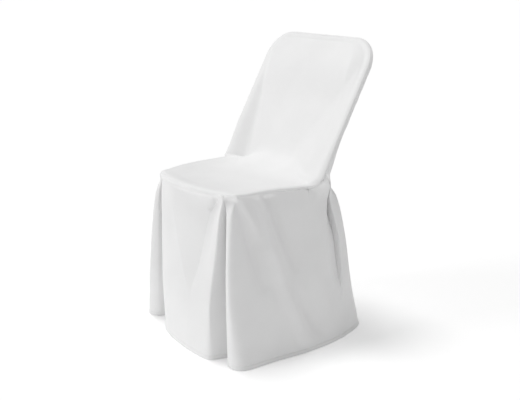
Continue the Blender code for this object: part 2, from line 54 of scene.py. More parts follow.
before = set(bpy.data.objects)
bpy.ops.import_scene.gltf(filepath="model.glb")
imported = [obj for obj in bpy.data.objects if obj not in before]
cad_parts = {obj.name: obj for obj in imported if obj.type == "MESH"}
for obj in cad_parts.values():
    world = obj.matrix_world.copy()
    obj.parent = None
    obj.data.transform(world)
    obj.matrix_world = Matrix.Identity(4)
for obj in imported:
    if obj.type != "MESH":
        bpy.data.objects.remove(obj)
CAD_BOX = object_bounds()

# The cover's sizes in metres, and its angles in radians
HEIGHT = 0.836
CLOTH = 0.0015
SEAT_HEIGHT = 0.469
FRAME_ORIGIN = Vector((0, -0.120, 0.4665))
BACK_FOOT_HEIGHT = 0.4855
BACK_LEAN = radians(29.4)
BACK_HALF_WIDTH = 0.2192
BACK_INSET = 0.0040
BACK_CORNER_RADIUS = 0.075
RIM_RADIUS_TOP = 0.0095
RIM_RADIUS_FOOT = 0.0165
RIM_SEAM_TURN_FOOT = radians(72)
RIM_SEAM_TURN_SIDE = radians(84)
RIM_SEAM_TURN_TOP = radians(28)
POCKET_FOOT = 0.013
POCKET_TAPER = 0.10
LEVEL_FOOT_POWER = 3

SEAT_FRONT = -0.295
SEAT_BOW = 0.034
SEAT_BOW_HALF_WIDTH = 0.170
SEAT_CORNER_RADIUS = 0.034
SEAT_SAG = 0.003
FRONT_EDGE_PROUD = 0.0016
ROLL_RADIUS = 0.014
ROLL_TURN_MIDDLE = radians(62)
ROLL_TURN_SIDE = radians(50)
CROOK_RADIUS_MIDDLE = 0.080
CROOK_RADIUS_RIGHT = 0.014
CROOK_RADIUS_LEFT = 0.022
CROOK_MIDDLE_HALF_WIDTH = 0.06
CROOK_SIDE_FROM = 0.16

# The inside of the back sinks along its lower middle, and stands proud above as a rounded plateau.
RECESS_HALF_WIDTH = 0.197
RECESS_SLOPE_RIGHT = 0.58
RECESS_SLOPE_LEFT = 0.20
PLATEAU_HALF_WIDTH = 0.168
PLATEAU_TOP = 0.380
PLATEAU_CORNER = 0.050
PLATEAU_PROUD = 0.0145
PLATEAU_SLOPE = 0.40
PLATEAU_CREASE = 0.0015
PLATEAU_FADE_FROM = 0.19
PLATEAU_FADE_LENGTH = 0.14
PLATEAU_FADE_AT_RIM = 0.016

# The right side hangs further out than the left.
RIGHT_FLARE_OUT = 0.062
RIGHT_FLARE_BACK = 0.023
RIGHT_FLARE_AT_BACK = 0.35
FLARE_FULL_FROM = 0.15

# The centre panel's side edges beside the seat, before they climb the back
EDGE_ROWS = (
    # name, distance back from the roll, half width at the seam, edge radius, edge turn in degrees, droop
    ("front", 0.00, 0.184, 0.012, 55, 0.0000),
    ("thigh", 0.10, 0.188, 0.010, 72, 0.0005),
    ("hip", 0.20, 0.190, 0.010, 82, 0.0072),
    ("rear", 0.24, 0.191, 0.010, 85, 0.0092),
)
DROOP_WIDTH = 0.080
RIGHT_EDGE_RISE = 0.004
RIGHT_CORNER_DROP = 0.008
RIGHT_CORNER_RADIUS = 0.018
RIGHT_CORNER_TURN = radians(75)
RIGHT_CORNER_ROWS = 4

# Depth of the recess, by distance up the back
RECESS_ROWS = (
    # name, distance up the back, depth
    ("crook", -0.03, 0.029),
    ("low", 0.03, 0.027),
    ("middle", 0.13, 0.0185),
    ("high", 0.21, 0.0110),
    ("end", 0.31, 0.001),
    ("top", 0.42, 0.000),
)

# Each pleat is two folds, one on either panel, and a seam behind them, all given for the left side.
FRONT_PLEAT = (
    # height, front fold x, y, side fold x, y, depth
    (0.45, 0.1515, -0.2740, 0.1570, -0.2695, 0.018),
    (0.41, 0.1505, -0.2825, 0.1620, -0.2680, 0.030),
    (0.31, 0.1440, -0.2905, 0.1640, -0.2690, 0.042),
    (0.20, 0.1280, -0.2960, 0.1640, -0.2700, 0.047),
    (0.14, 0.1220, -0.2970, 0.1640, -0.2700, 0.047),
    (0.00, 0.1210, -0.2960, 0.1590, -0.2660, 0.050),
)
# The front skirt's fold on the right stands further in: height, x, y
FRONT_FOLD_RIGHT = (
    (0.45, -0.1385, -0.2700),
    (0.41, -0.1405, -0.2735),
    (0.31, -0.1430, -0.2745),
    (0.20, -0.1455, -0.2755),
    (0.14, -0.1465, -0.2755),
    (0.00, -0.1470, -0.2750),
)
REAR_PLEAT = (
    # height, back fold x, y, side fold x, y, depth, share of the way to the back fold at the bottom
    (0.45, 0.2080, 0.0510, 0.2080, 0.0470, 0.020, 0.8),
    (0.41, 0.2040, 0.0535, 0.2060, 0.0400, 0.036, 1.4),
    (0.31, 0.2120, 0.0790, 0.2170, 0.0310, 0.026, 1.05),
    (0.20, 0.2190, 0.0900, 0.2250, 0.0460, 0.017, 0.95),
    (0.14, 0.2280, 0.0860, 0.2300, 0.0670, 0.003, 0.8),
    (0.00, 0.2325, 0.0860, 0.2335, 0.0780, 0.000, 0.5),
)
PLEAT_SEAM_PLACE = 0.150
PLEAT_HALF_MOUTH_TOP = 0.006
FRONT_PLEAT_INWARD = Vector((0.05, 0.99))
REAR_PLEAT_INWARD = Vector((-0.99, -0.05))
SMALLEST_HALF_TURN = 0.0045
PLEAT_SEAM_GAP = 0.00005
LEAST_LEVEL_STEP = 0.008
HANG_LEVELS = (0.45, 0.41, 0.31, 0.20, 0.14, 0.00)
COLLAR = 0.40
WAIST = 0.22

# How many times a level's outline is softened: at most levels, and at those near the hem
FOLD_SOFTENING = 2
HEM_SOFTENING_FRONT = 40
HEM_SOFTENING_SIDE = 14
HEM_SOFT_BELOW = 0.10

# The part of each skirt that shows, between its pleats, in plan
FRONT_STATIONS = (
    # name, share of the seam, collar x, y, waist x, y, hem x, y
    ("right end", 0.13, -0.100, -0.285, -0.100, -0.288, -0.100, -0.290),
    ("right", 0.31, -0.050, -0.292, -0.050, -0.296, -0.050, -0.299),
    ("middle", 0.50, 0.000, -0.295, 0.000, -0.299, 0.000, -0.303),
    ("left", 0.69, 0.050, -0.293, 0.050, -0.298, 0.050, -0.304),
    ("left roll", 0.86, 0.100, -0.288, 0.088, -0.2965, 0.090, -0.302),
    ("left end", 0.95, 0.132, -0.284, 0.116, -0.2955, 0.109, -0.300),
)
SIDE_STATIONS = (
    # name, share of the seam, collar x, y, waist x, y, hem x, y
    ("brow", 0.045, 0.172, -0.271, 0.177, -0.2785, 0.181, -0.278),
    ("front corner", 0.10, 0.184, -0.266, 0.190, -0.2805, 0.206, -0.277),
    ("cheek", 0.15, 0.191, -0.245, 0.1975, -0.261, 0.2225, -0.262),
    ("side front", 0.24, 0.195, -0.212, 0.204, -0.222, 0.2275, -0.228),
    ("side", 0.42, 0.199, -0.150, 0.2125, -0.156, 0.232, -0.160),
    ("side middle", 0.60, 0.203, -0.085, 0.219, -0.087, 0.240, -0.085),
    ("side rear", 0.77, 0.206, -0.030, 0.222, -0.030, 0.2425, -0.022),
    ("side back", 0.89, 0.207, 0.005, 0.224, 0.012, 0.2395, 0.035),
)
BACK_STATIONS = (
    # name, share of half the back, collar x, y, waist x, y, hem x, y
    ("centre", 0.00, 0.000, 0.103, 0.000, 0.147, 0.000, 0.214),
    ("inner", 0.20, 0.060, 0.103, 0.062, 0.147, 0.066, 0.214),
    ("middle", 0.39, 0.116, 0.102, 0.120, 0.146, 0.130, 0.212),
    ("outer", 0.56, 0.160, 0.099, 0.168, 0.140, 0.182, 0.199),
    ("rear corner", 0.70, 0.188, 0.096, 0.203, 0.127, 0.209, 0.162),
    ("rear cheek", 0.84, 0.198, 0.080, 0.215, 0.107, 0.2245, 0.114),
)

# Soft folds: the line that each follows from its top to its foot, its width, and how far it stands out
SIDE_FOLDS = (
    # name, top y, z, foot y, z, width, height
    ("first trough", -0.258, 0.472, -0.188, 0.215, 0.018, -0.0120),
    ("first ridge", -0.238, 0.450, -0.160, 0.300, 0.015, 0.0060),
    ("second ridge", -0.196, 0.460, -0.126, 0.240, 0.016, 0.0120),
    ("second trough", -0.160, 0.465, -0.086, 0.250, 0.019, -0.0155),
    ("long ridge", -0.168, 0.310, -0.052, 0.020, 0.022, 0.0140),
    ("low trough", -0.085, 0.170, 0.005, 0.020, 0.024, -0.0115),
    ("rear ridge", -0.022, 0.230, 0.045, 0.060, 0.022, 0.0065),
)
FRONT_FOLDS = (
    # name, top x, z, foot x, z, width, height
    ("corner trough", 0.130, 0.466, 0.098, 0.420, 0.0070, -0.0100),
    ("cone", 0.145, 0.455, 0.122, 0.290, 0.013, 0.0030),
)
# The front's wide valley lies between a crisp crease and a soft bottom, which meet at its foot.
FRONT_VALLEY = (
    # height, crease x, bottom x, depth
    (0.460, -0.085, 0.122, 0.0110),
    (0.410, -0.059, 0.098, 0.0195),
    (0.305, -0.023, 0.069, 0.0190),
    (0.230, 0.004, 0.052, 0.0110),
    (0.175, 0.026, 0.036, 0.0016),
    (0.120, 0.030, 0.034, 0.0000),
    (0.000, 0.030, 0.034, 0.0000),
)
BACK_FOLDS = (
    # name, top x, z, foot x, z, width, height
    ("right drape", -0.130, 0.440, -0.160, 0.060, 0.024, 0.0030),
    ("right hollow", -0.070, 0.430, -0.090, 0.080, 0.022, -0.0025),
    ("left hollow", 0.095, 0.430, 0.120, 0.070, 0.022, -0.0025),
    ("left drape", 0.150, 0.440, 0.175, 0.050, 0.024, 0.0030),
)

# Rows and columns by which the centre panel and the pocket are measured out
ROLL_ROWS = 4
SEAT_ROWS = 8
CROOK_ROWS = 5
BACK_ROWS = 13
SEAT_END = ROLL_ROWS + SEAT_ROWS
CROOK_END = SEAT_END + CROOK_ROWS
INNER_COLUMNS = 9
EDGE_COLUMNS = 3
POCKET_HALF_COLUMNS = 16
RIM_COLUMNS = 4
FLAT_COLUMNS = POCKET_HALF_COLUMNS - RIM_COLUMNS

# Fine detail: how far from a seam folds and slow waves are held flat, and the sizes of waves and puckers
FOLDS_HELD_FLAT = 0.015
FOLDS_END_ABOVE_HEM = 0.05
VALLEY_SOFT_SIDE = 0.075
VALLEY_LEAST_CREASE = 0.004
SKIRT_WAVES_HELD_FLAT = 0.040
WAVES_HELD_FLAT = 0.030
SLOW_WAVES_PER_METRE = 7.0
FINE_WAVES_PER_METRE = 17.0
FINE_WAVES_SHARE = 0.45
PUCKERS_PER_METRE = 55
FINE_PUCKERS_PER_METRE = 120
PUCKER_REACH = 0.016
HEM_PUCKERS_PER_METRE = 80
HEM_PUCKER_REACH = 0.010
HEM_PUCKER = 0.0004
HEM_EXTRA = 0.0004
HEM_EDGE = 0.0012
STITCHES_SINK = 0.0005
STITCHES_WIDTH = 0.0010

# Rows of a fine skirt that lie closer: below its seam, and above or below the hem's stitches
SEAM_ROWS = (0.0008, 0.002, 0.004, 0.007)
HEM_ROWS = (-0.004, -0.0015, -0.0005, 0.0005, 0.0015, 0.005)
LAST_ROW = 0.0012

# Columns of each fine skirt: in one pleat, and between its pleats. The back's show in each half.
FRONT_GRID = (16, 130)
SIDE_GRID = (16, 140)
BACK_GRID = (20, 76)

# The crook is eased over these rows before and after it, and less towards the sides.
EASE_ROWS_BEFORE = 1.6
EASE_ROWS_AFTER = 2.2
EASE_TIMES = 170
EASE_LOST_LEFT = 0.75
EASE_FULL_HALF_WIDTH = 0.06
EASE_FADE_WIDTH = 0.09

UP_THE_BACK = Vector((0, sin(BACK_LEAN), cos(BACK_LEAN)))
OUT_OF_BACK = Vector((0, -cos(BACK_LEAN), sin(BACK_LEAN)))

# The camera, for a picture of 520 by 400
CAMERA_PLACE = Vector((1.841, -1.470, 1.034))
CAMERA_AZIMUTH = radians(52.0)
CAMERA_DOWN = radians(15.664)
CAMERA_LENS = 58.37

# The studio's lights: the direction that each comes from, in degrees, where azimuth 0 is straight in front
LIGHTS = (
    # name, azimuth, elevation, its strength's name on the stage
    ("front light", -20, 15, "front_strength"),
    ("right light", -75, 75, "right_strength"),
    ("top light", 90, 85, "top_strength"),
)
LIGHT_SPREAD = radians(20)


def length_setting(name, description, default):
    return bpy.props.FloatProperty(name=name, description=description, default=default, unit="LENGTH")


def factor_setting(name, description, default):
    return bpy.props.FloatProperty(name=name, description=description, default=default, subtype="FACTOR")


def colour_setting(name, description, default):
    return bpy.props.FloatVectorProperty(
        name=name, description=description, default=default, subtype="COLOR", size=3
    )


def number_setting(name, description, default):
    return bpy.props.FloatProperty(name=name, description=description, default=default)


class CoverCloth(bpy.types.PropertyGroup):
    """The cloth, its seams and its hem."""

    grid: length_setting("Grid", "Spacing of the sheet's threads of points", 0.0030)
    thickness: length_setting("Thickness", "Thickness of the cloth", 0.0011)
    seam_turn: length_setting("Seam turn", "How far an edge turns in at its seam", 0.0014)
    seam_width: length_setting("Seam width", "Width of the turned edge at a seam", 0.0030)
    welt: length_setting("Welt", "Height of the ridge over a seam allowance", 0.0007)
    pucker: length_setting("Pucker", "Height of the puckers beside a seam", 0.0007)
    drift: length_setting("Drift", "Height of the cloth's slow waves", 0.0016)
    hem_depth: length_setting("Hem depth", "Depth of the double hem", 0.011)
    stitch_length: length_setting("Stitch length", "Length of one stitch of the hem", 0.003)
    thread_pitch: length_setting("Thread pitch", "Distance between two threads", 0.00055)
    colour: colour_setting("Colour", "Colour of the cloth", (0.862, 0.862, 0.862))
    roughness: factor_setting("Roughness", "Roughness of the cloth", 0.62)
    sheen: factor_setting("Sheen", "Weight of the cloth's sheen", 0.25)


class CoverStage(bpy.types.PropertyGroup):
    """Light and floor of the studio."""

    front_strength: number_setting("Front light", "Strength of the low soft light in front", 0.80)
    right_strength: number_setting("Right light", "Strength of the high light on the right", 1.06)
    top_strength: number_setting("Top light", "Strength of the light overhead", 0.71)
    room_strength: number_setting("Room light", "Strength of the white room", 0.30)
    floor_glow: number_setting("Floor glow", "Strength of the light from the floor", 0.12)
    floor_colour: colour_setting("Floor", "Colour of the floor", (0.97, 0.97, 0.97))
    floor_size: length_setting("Floor size", "Length of the floor's sides", 120.0)


def settings():
    return bpy.context.scene.cover_cloth


def smooth_step(value):
    value = min(max(value, 0.0), 1.0)
    return value * value * (3 - 2 * value)


def eased_ramp(value):
    """A straight ramp from 0 to 1, rounded where it starts and where it ends."""
    ease = 0.6
    low = value + ease / 2
    if low <= 0:
        return 0.0
    if low < ease:
        return low * low / (2 * ease)
    if value <= 1 - ease / 2:
        return value
    left = 1 + ease / 2 - value
    return 1 - left * left / (2 * ease) if left > 0 else 1.0


def curve_through(knots, points, where):
    """A smooth curve through the points, whose slope at each is that of its two neighbours."""
    last = len(knots) - 1
    if where <= knots[0]:
        return points[0] * 1.0
    if where >= knots[last]:
        return points[last] * 1.0
    i = max(k for k in range(last) if knots[k] <= where)
    span = knots[i + 1] - knots[i]
    share = (where - knots[i]) / span
    cube, square = share**3, share**2
    low, high = max(i - 1, 0), min(i + 2, last)
    start_slope = (points[i + 1] - points[low]) * (span / (knots[i + 1] - knots[low]))
    end_slope = (points[high] - points[i]) * (span / (knots[high] - knots[i]))
    return (
        points[i] * (2 * cube - 3 * square + 1)
        + start_slope * (cube - 2 * square + share)
        + points[i + 1] * (3 * square - 2 * cube)
        + end_slope * (cube - square)
    )


def table(rows, key, where, column):
    """The value of a column at a place between the rows, along a smooth curve."""
    rows = sorted(rows, key=lambda row: row[key])
    return curve_through([row[key] for row in rows], [row[column] for row in rows], where)


def round_corner(across, along, corner_across, corner_along):
    """Moves a point of a square corner, in shares of the corner's size, on to a quarter disc."""
    p = max(across, 0.0) / corner_across
    q = max(along, 0.0) / corner_along
    if p <= 0 or q <= 0:
        return across, along
    return corner_across * p * sqrt(1 - q * q / 2), corner_along * q * sqrt(1 - p * p / 2)


def rim_radius(up):
    share = smooth_step((up - POCKET_FOOT) / POCKET_TAPER)
    return RIM_RADIUS_FOOT + share * (RIM_RADIUS_TOP - RIM_RADIUS_FOOT)


def side_seam_turn(up):
    """How far round the rim its side seam lies: nearer the front at the foot than further up."""
    share = smooth_step((up - 0.02) / 0.14)
    return RIM_SEAM_TURN_FOOT + share * (RIM_SEAM_TURN_SIDE - RIM_SEAM_TURN_FOOT)


def top_of_back():
    """How far up the leaning back its flat part ends, so that the rim round it reaches the full height."""
    rim_rise = RIM_RADIUS_TOP * (1 - sin(BACK_LEAN)) - BACK_INSET * sin(BACK_LEAN)
    return (HEIGHT - CLOTH - BACK_FOOT_HEIGHT - rim_rise) / cos(BACK_LEAN)


def past_rounded(across, along, half_across, top, corner):
    """How far a point lies past a rounded outline, or a negative distance inside it."""
    p, q = across - half_across + corner, along - top + corner
    if p > 0 and q > 0:
        return hypot(p, q) - corner
    return max(p, q) - corner


def relief(x, up):
    """How far the inside of the back stands out of its plane: sunk in the recess, proud on the plateau."""
    depth = max(table(RECESS_ROWS, 1, up, 2), 0.0001)
    slope = RECESS_SLOPE_LEFT if x > 0 else RECESS_SLOPE_RIGHT
    sunk = depth * eased_ramp((RECESS_HALF_WIDTH - abs(x)) * slope / depth)
    past = past_rounded(abs(x), up, PLATEAU_HALF_WIDTH, PLATEAU_TOP, PLATEAU_CORNER)
    fallen = 0.5 * PLATEAU_SLOPE * (past + hypot(past, PLATEAU_CREASE))
    proud = max(PLATEAU_PROUD - fallen, 0.0) * smooth_step((up - PLATEAU_FADE_FROM) / PLATEAU_FADE_LENGTH)
    flat_width = BACK_HALF_WIDTH - RIM_RADIUS_TOP * sin(RIM_SEAM_TURN_FOOT)
    from_rim = -past_rounded(abs(x), up, flat_width, top_of_back(), BACK_CORNER_RADIUS)
    proud *= smooth_step(from_rim / PLATEAU_FADE_AT_RIM)
    return proud - sunk - BACK_INSET


def back_point(x, up):
    """A point of the inside of the back, by its distance up the lean, and the way out of the cloth there."""
    foot = Vector((x, 0, BACK_FOOT_HEIGHT))
    return foot + UP_THE_BACK * up + OUT_OF_BACK * relief(x, up), OUT_OF_BACK


def seat_front(x):
    return SEAT_FRONT + SEAT_BOW * (x / SEAT_BOW_HALF_WIDTH) ** 2


def roll_point(x, share):
    """A point of the front roll, by its share of the way from the seam under it to the flat seat."""
    to_side = smooth_step((abs(x) - 0.03) / 0.12)
    whole = ROLL_TURN_MIDDLE + to_side * (ROLL_TURN_SIDE - ROLL_TURN_MIDDLE)
    turn = whole * (1 - share)
    centre = seat_front(x) + ROLL_RADIUS
    way = Vector((0, -sin(turn), cos(turn)))
    return Vector((x, centre, SEAT_HEIGHT - ROLL_RADIUS)) + way * ROLL_RADIUS, way


def crook(x):
    """Where seat and back would meet, the fillet's radius between them, and where it starts and ends."""
    share = smooth_step((abs(x) - CROOK_MIDDLE_HALF_WIDTH) / (CROOK_SIDE_FROM - CROOK_MIDDLE_HALF_WIDTH))
    radius_at_side = CROOK_RADIUS_LEFT if x > 0 else CROOK_RADIUS_RIGHT
    radius = CROOK_RADIUS_MIDDLE + share * (radius_at_side - CROOK_RADIUS_MIDDLE)
    sunk = -relief(x, 0.0)
    corner_up = (SEAT_HEIGHT - BACK_FOOT_HEIGHT - sunk * sin(BACK_LEAN)) / cos(BACK_LEAN)
    corner_y = corner_up * sin(BACK_LEAN) + sunk * cos(BACK_LEAN)
    reach = radius * tan((pi / 2 - BACK_LEAN) / 2)
    return radius, corner_y - reach, corner_up + reach


def seat_point(x, share):
    """A point of the seat, by its share of the way from the front roll to the crook."""
    start = seat_front(x) + ROLL_RADIUS
    end = crook(x)[1]
    sag = SEAT_SAG * sin(pi * share) ** 2 * (1 - smooth_step((abs(x) - 0.10) / 0.08))
    sag += FRONT_EDGE_PROUD * smooth_step((share - 0.01) / 0.10) * (1 - smooth_step((share - 0.15) / 0.5))
    return Vector((x, start + share * (end - start), SEAT_HEIGHT - sag)), Vector((0, 0, 1))


def crook_point(x, share):
    radius, start, _ = crook(x)
    turn = share * (pi / 2 - BACK_LEAN)
    way = Vector((0, -sin(turn), cos(turn)))
    centre = Vector((x, start, SEAT_HEIGHT + radius))
    return centre - way * radius, way


def edge_size(row, side):
    """Half width at the seam, radius, turn and droop of the side edge at a row of the centre panel."""
    back = EDGE_ROWS[-1][1] * min(max((row - ROLL_ROWS) / SEAT_ROWS, 0.0), 1.0)
    width = table(EDGE_ROWS, 1, back, 2)
    radius = table(EDGE_ROWS, 1, back, 3)
    turn = radians(table(EDGE_ROWS, 1, back, 4))
    droop = table(EDGE_ROWS, 1, back, 5)
    if side < 0:
        corner = 1 - smooth_step((row - ROLL_ROWS) / RIGHT_CORNER_ROWS)
        radius += corner * (RIGHT_CORNER_RADIUS - radius)
        turn += corner * (RIGHT_CORNER_TURN - turn)
        droop = RIGHT_CORNER_DROP * (1 - smooth_step((row - ROLL_ROWS + 2) / 3.5))
        droop -= RIGHT_EDGE_RISE * smooth_step((row - ROLL_ROWS) / 2.5)
    if row > SEAT_END:
        share = smooth_step((row - SEAT_END + 1) / (CROOK_ROWS + 1))
        up = POCKET_FOOT if row <= CROOK_END else row_up(row, BACK_HALF_WIDTH)
        rim, rim_turn = rim_radius(up), side_seam_turn(up)
        rim_width = BACK_HALF_WIDTH + rim * (sin(rim_turn) - sin(RIM_SEAM_TURN_FOOT))
        width += share * (rim_width - width)
        radius += share * (rim - radius)
        turn += share * (rim_turn - turn)
        droop *= 1 - share
    return width, radius, turn, droop


def row_up(row, x):
    """How far up the back a row of the centre panel lies, before its corners are rounded."""
    start = crook(x)[2]
    share = (row - CROOK_END) / BACK_ROWS
    return start + share * (top_of_back() + RIM_RADIUS_TOP * RIM_SEAM_TURN_TOP - start)


def past_outline(x, up, inner_x):
    """The nearest point of the back's flat outline, how far past it a point lies, and which way."""
    inner_up, corner = top_of_back(), BACK_CORNER_RADIUS
    centre_x, centre_up = inner_x - corner, inner_up - corner
    side = 1.0 if x >= 0 else -1.0
    across, along = abs(x) - centre_x, up - centre_up
    if across > 0 and along > 0:
        length = hypot(across, along)
        if length <= corner:
            return x, up, 0.0, side, 0.0
        way_x, way_up = across / length, along / length
        near_x, near_up = centre_x + corner * way_x, centre_up + corner * way_up
        return side * near_x, near_up, length - corner, side * way_x, way_up
    if up > inner_up:
        return x, inner_up, up - inner_up, 0.0, 1.0
    if abs(x) > inner_x:
        return side * inner_x, up, abs(x) - inner_x, side, 0.0
    return x, up, 0.0, side, 0.0


def round_the_rim(x, up, inner, side_length, top_length):
    """Bends a place of the back's cloth on to its rounded outline.

    Returns the outline's nearest point, how far past it the place lies, and the way out there.
    """
    side = 1.0 if x >= 0 else -1.0
    corner_x, corner_up = BACK_CORNER_RADIUS + side_length, BACK_CORNER_RADIUS + top_length
    start_x, start_up = inner - BACK_CORNER_RADIUS, top_of_back() - BACK_CORNER_RADIUS
    moved_x, moved_up = round_corner(abs(x) - start_x, up - start_up, corner_x, corner_up)
    near_x, near_up, beyond, way_x, way_up = past_outline(
        side * (start_x + moved_x), start_up + moved_up, inner
    )
    return near_x, near_up, beyond, Vector((way_x, 0, 0)) + UP_THE_BACK * way_up


def centre_point(column, row):
    """A point of the centre panel, by its column from right to left and its row from front to top."""
    side = 1.0 if column >= 0 else -1.0
    width, radius, turn, droop = edge_size(row, side)
    inner = width - radius * sin(turn)
    if abs(column) <= INNER_COLUMNS:
        x = inner * column / INNER_COLUMNS
    else:
        x = side * (inner + radius * turn * (abs(column) - INNER_COLUMNS) / EDGE_COLUMNS)
    if row > CROOK_END:
        up = row_up(row, side * min(abs(x), inner))
        top_length = RIM_RADIUS_TOP * RIM_SEAM_TURN_TOP
        near_x, near_up, beyond, way = round_the_rim(x, up, inner, radius * turn, top_length)
        base, out = back_point(near_x, near_up)
    else:
        if row <= ROLL_ROWS:
            corner = SEAT_CORNER_RADIUS
            start = inner + radius * turn - corner
            moved_x, left = round_corner(abs(x) - start, 1 - row / ROLL_ROWS, corner, 1.0)
            x = side * (start + moved_x)
        beyond = max(abs(x) - inner, 0.0)
        near_x, way = side * min(abs(x), inner), Vector((side, 0, 0))
        if row <= ROLL_ROWS:
            base, out = roll_point(near_x, 1 - left)
        elif row <= SEAT_END:
            base, out = seat_point(near_x, (row - ROLL_ROWS) / SEAT_ROWS)
        else:
            base, out = crook_point(near_x, (row - SEAT_END) / CROOK_ROWS)
    base.z -= droop * smooth_step((abs(x) - inner + DROOP_WIDTH) / DROOP_WIDTH)
    angle = beyond / radius
    return base + way * (radius * sin(angle)) - out * (radius * (1 - cos(angle)))


def pocket_point(column, row):
    """A point of the outside back above the pocket's foot, by its column and its share of the height."""
    side = 1.0 if column >= 0 else -1.0
    top = top_of_back()
    top_length = RIM_RADIUS_TOP * (pi - RIM_SEAM_TURN_TOP)
    up = POCKET_FOOT + row * (top + top_length - POCKET_FOOT)
    radius = rim_radius(min(up, top))
    side_length = radius * (pi - side_seam_turn(min(up, top)))
    inner = BACK_HALF_WIDTH - radius * sin(RIM_SEAM_TURN_FOOT)
    if abs(column) <= FLAT_COLUMNS:
        x = inner * column / FLAT_COLUMNS
    else:
        x = side * (inner + side_length * (abs(column) - FLAT_COLUMNS) / RIM_COLUMNS)
    near_x, near_up, beyond, way = round_the_rim(x, up, inner, side_length, top_length)
    base = Vector((near_x, 0, BACK_FOOT_HEIGHT)) + UP_THE_BACK * near_up
    base -= OUT_OF_BACK * (2 * radius + BACK_INSET)
    angle = beyond / radius
    # The foot of the pocket is level, so it rises up the lean behind its seam.
    behind_seam = radius * (cos(angle) + cos(RIM_SEAM_TURN_FOOT))
    base += UP_THE_BACK * (behind_seam * tan(BACK_LEAN) * (1 - row) ** LEVEL_FOOT_POWER)
    return base + way * (radius * sin(angle)) + OUT_OF_BACK * (radius * (1 - cos(angle)))


def seam_under_centre(side):
    """The centre panel's edge on one side, from the middle of its front to the pocket's foot."""
    edge = side * (INNER_COLUMNS + EDGE_COLUMNS)
    places = [(edge * k / 48, 0.0) for k in range(49)]
    foot_height = pocket_point(POCKET_HALF_COLUMNS, 0.0).z
    row = 0.0
    while centre_point(edge, row).z < foot_height or row < SEAT_END:
        row += 0.1
        places.append((edge, row))
    places.pop()
    seam = [centre_point(column, row) for column, row in places]
    seam.append(pocket_point(side * POCKET_HALF_COLUMNS, 0.0))
    return seam


def along_seam(seam, distance):
    """The place on the seam at a distance from the middle of the front."""
    for start, end in zip(seam, seam[1:]):
        length = (end - start).length
        if distance <= length:
            return start.lerp(end, max(distance, 0.0) / length)
        distance -= length
    return seam[-1].copy()


def lengths_along(points):
    """How far along a line of points each of them lies."""
    lengths = [0.0]
    for start, end in zip(points, points[1:]):
        lengths.append(lengths[-1] + (end - start).length)
    return lengths


def from_side_edges(points):
    """How far each point of a sheet lies from the nearer end of its row, along the cloth."""
    rows = [lengths_along(row) for row in points]
    return [[min(length, row[-1] - length) for length in row] for row in rows]


def flared(x, y, height, side, at_back):
    """Mirrors a place in plan to the right side, and moves it out by that side's flare."""
    if side > 0:
        return Vector((x, y))
    drop = max(SEAT_HEIGHT - height, 0.0) / SEAT_HEIGHT
    spread = min(abs(x) / FLARE_FULL_FROM, 1.0)
    share = drop**1.4 * spread * (1 - at_back * (1 - RIGHT_FLARE_AT_BACK))
    return Vector((-x - RIGHT_FLARE_OUT * share, y + RIGHT_FLARE_BACK * share * (1 - at_back)))


def pleat(rows, height, side, rear):
    """The two folds of a pleat and the bottom behind them, in plan, at one of the table's heights."""
    row = next(row for row in rows if row[0] == height)
    own_x, own_y, side_x, side_y, depth = row[1:6]
    at_back = 1.0 if rear else 0.0
    if rear:
        own_fold = flared(own_x, own_y, height, side, at_back)
    else:
        own_fold = Vector((side * own_x, own_y))
        if side < 0:
            own_fold = Vector(next(fold[1:] for fold in FRONT_FOLD_RIGHT if fold[0] == height))
    side_fold = flared(side_x, side_y, height, side, at_back)
    inward = REAR_PLEAT_INWARD if rear else FRONT_PLEAT_INWARD
    inward = Vector((side * inward.x, inward.y)).normalized()
    bottom = side_fold.lerp(own_fold, row[6] if rear else 0.5) + inward * depth
    return own_fold, side_fold, bottom, inward, depth


def return_points(fold, other, bottom, inward, depth, steps):
    """The cloth's way from its fold into the pleat: down one wall, and over half of the flat bottom."""
    away = (fold - other) / 2
    half = max(away.length, SMALLEST_HALF_TURN)
    away.normalize()
    corner = bottom + away * half * 0.45
    bend = fold + inward * (0.62 * depth)
    points = []
    for k in range(1, steps - 1):
        t = k / (steps - 2)
        points.append(fold * (1 - t) ** 2 + bend * (2 * t * (1 - t)) + corner * t**2)
    points.append((corner + bottom) / 2)
    points.append(bottom + away * PLEAT_SEAM_GAP)
    return points


def trough_points(fold, other, bottom, steps):
    """The cloth's way from its fold down one side of a trough to the seam along its bottom."""
    away = (fold - other).normalized() * PLEAT_SEAM_GAP
    return [fold.lerp(bottom + away, k / steps) for k in range(1, steps + 1)]


def station_place(top, row, height, side, at_back):
    """Where a station's column stands in plan at a height, through its collar, waist and hem."""
    knots = [-top.z, -COLLAR, -WAIST, 0.0]
    levels = ((2, COLLAR), (4, WAIST), (6, 0.0))
    station = [flared(row[k], row[k + 1], level, side, at_back) for k, level in levels]
    return curve_through(knots, [Vector((top.x, top.y))] + station, -height)


def level_outline(shares, places, steps, start, end):
    """One level of a skirt in plan, from its start fold through its stations to its end fold."""
    knots = [0.0] + shares + [1.0]
    points = [start] + places + [end]
    return [curve_through(knots, points, k / steps) for k in range(steps + 1)]


def soften(points, times):
    """Rounds an outline's sharp turns by drawing each point towards its neighbours."""
    for _ in range(times):
        inner = [(a + b * 2 + c) / 4 for a, b, c in zip(points, points[1:], points[2:])]
        points = [points[0]] + inner + [points[-1]]
    return points


def hang(top, levels, share):
    """A point of a skirt's column, from its place at the top through its levels down to the hem."""
    below = [k for k, level in enumerate(HANG_LEVELS) if level < top.z - LEAST_LEVEL_STEP]
    knots = [-top.z] + [-HANG_LEVELS[k] for k in below]
    points = [Vector((top.x, top.y))] + [levels[k] for k in below]
    height = top.z * (1 - share)
    place = curve_through(knots, points, -height)
    return Vector((place.x, place.y, height))


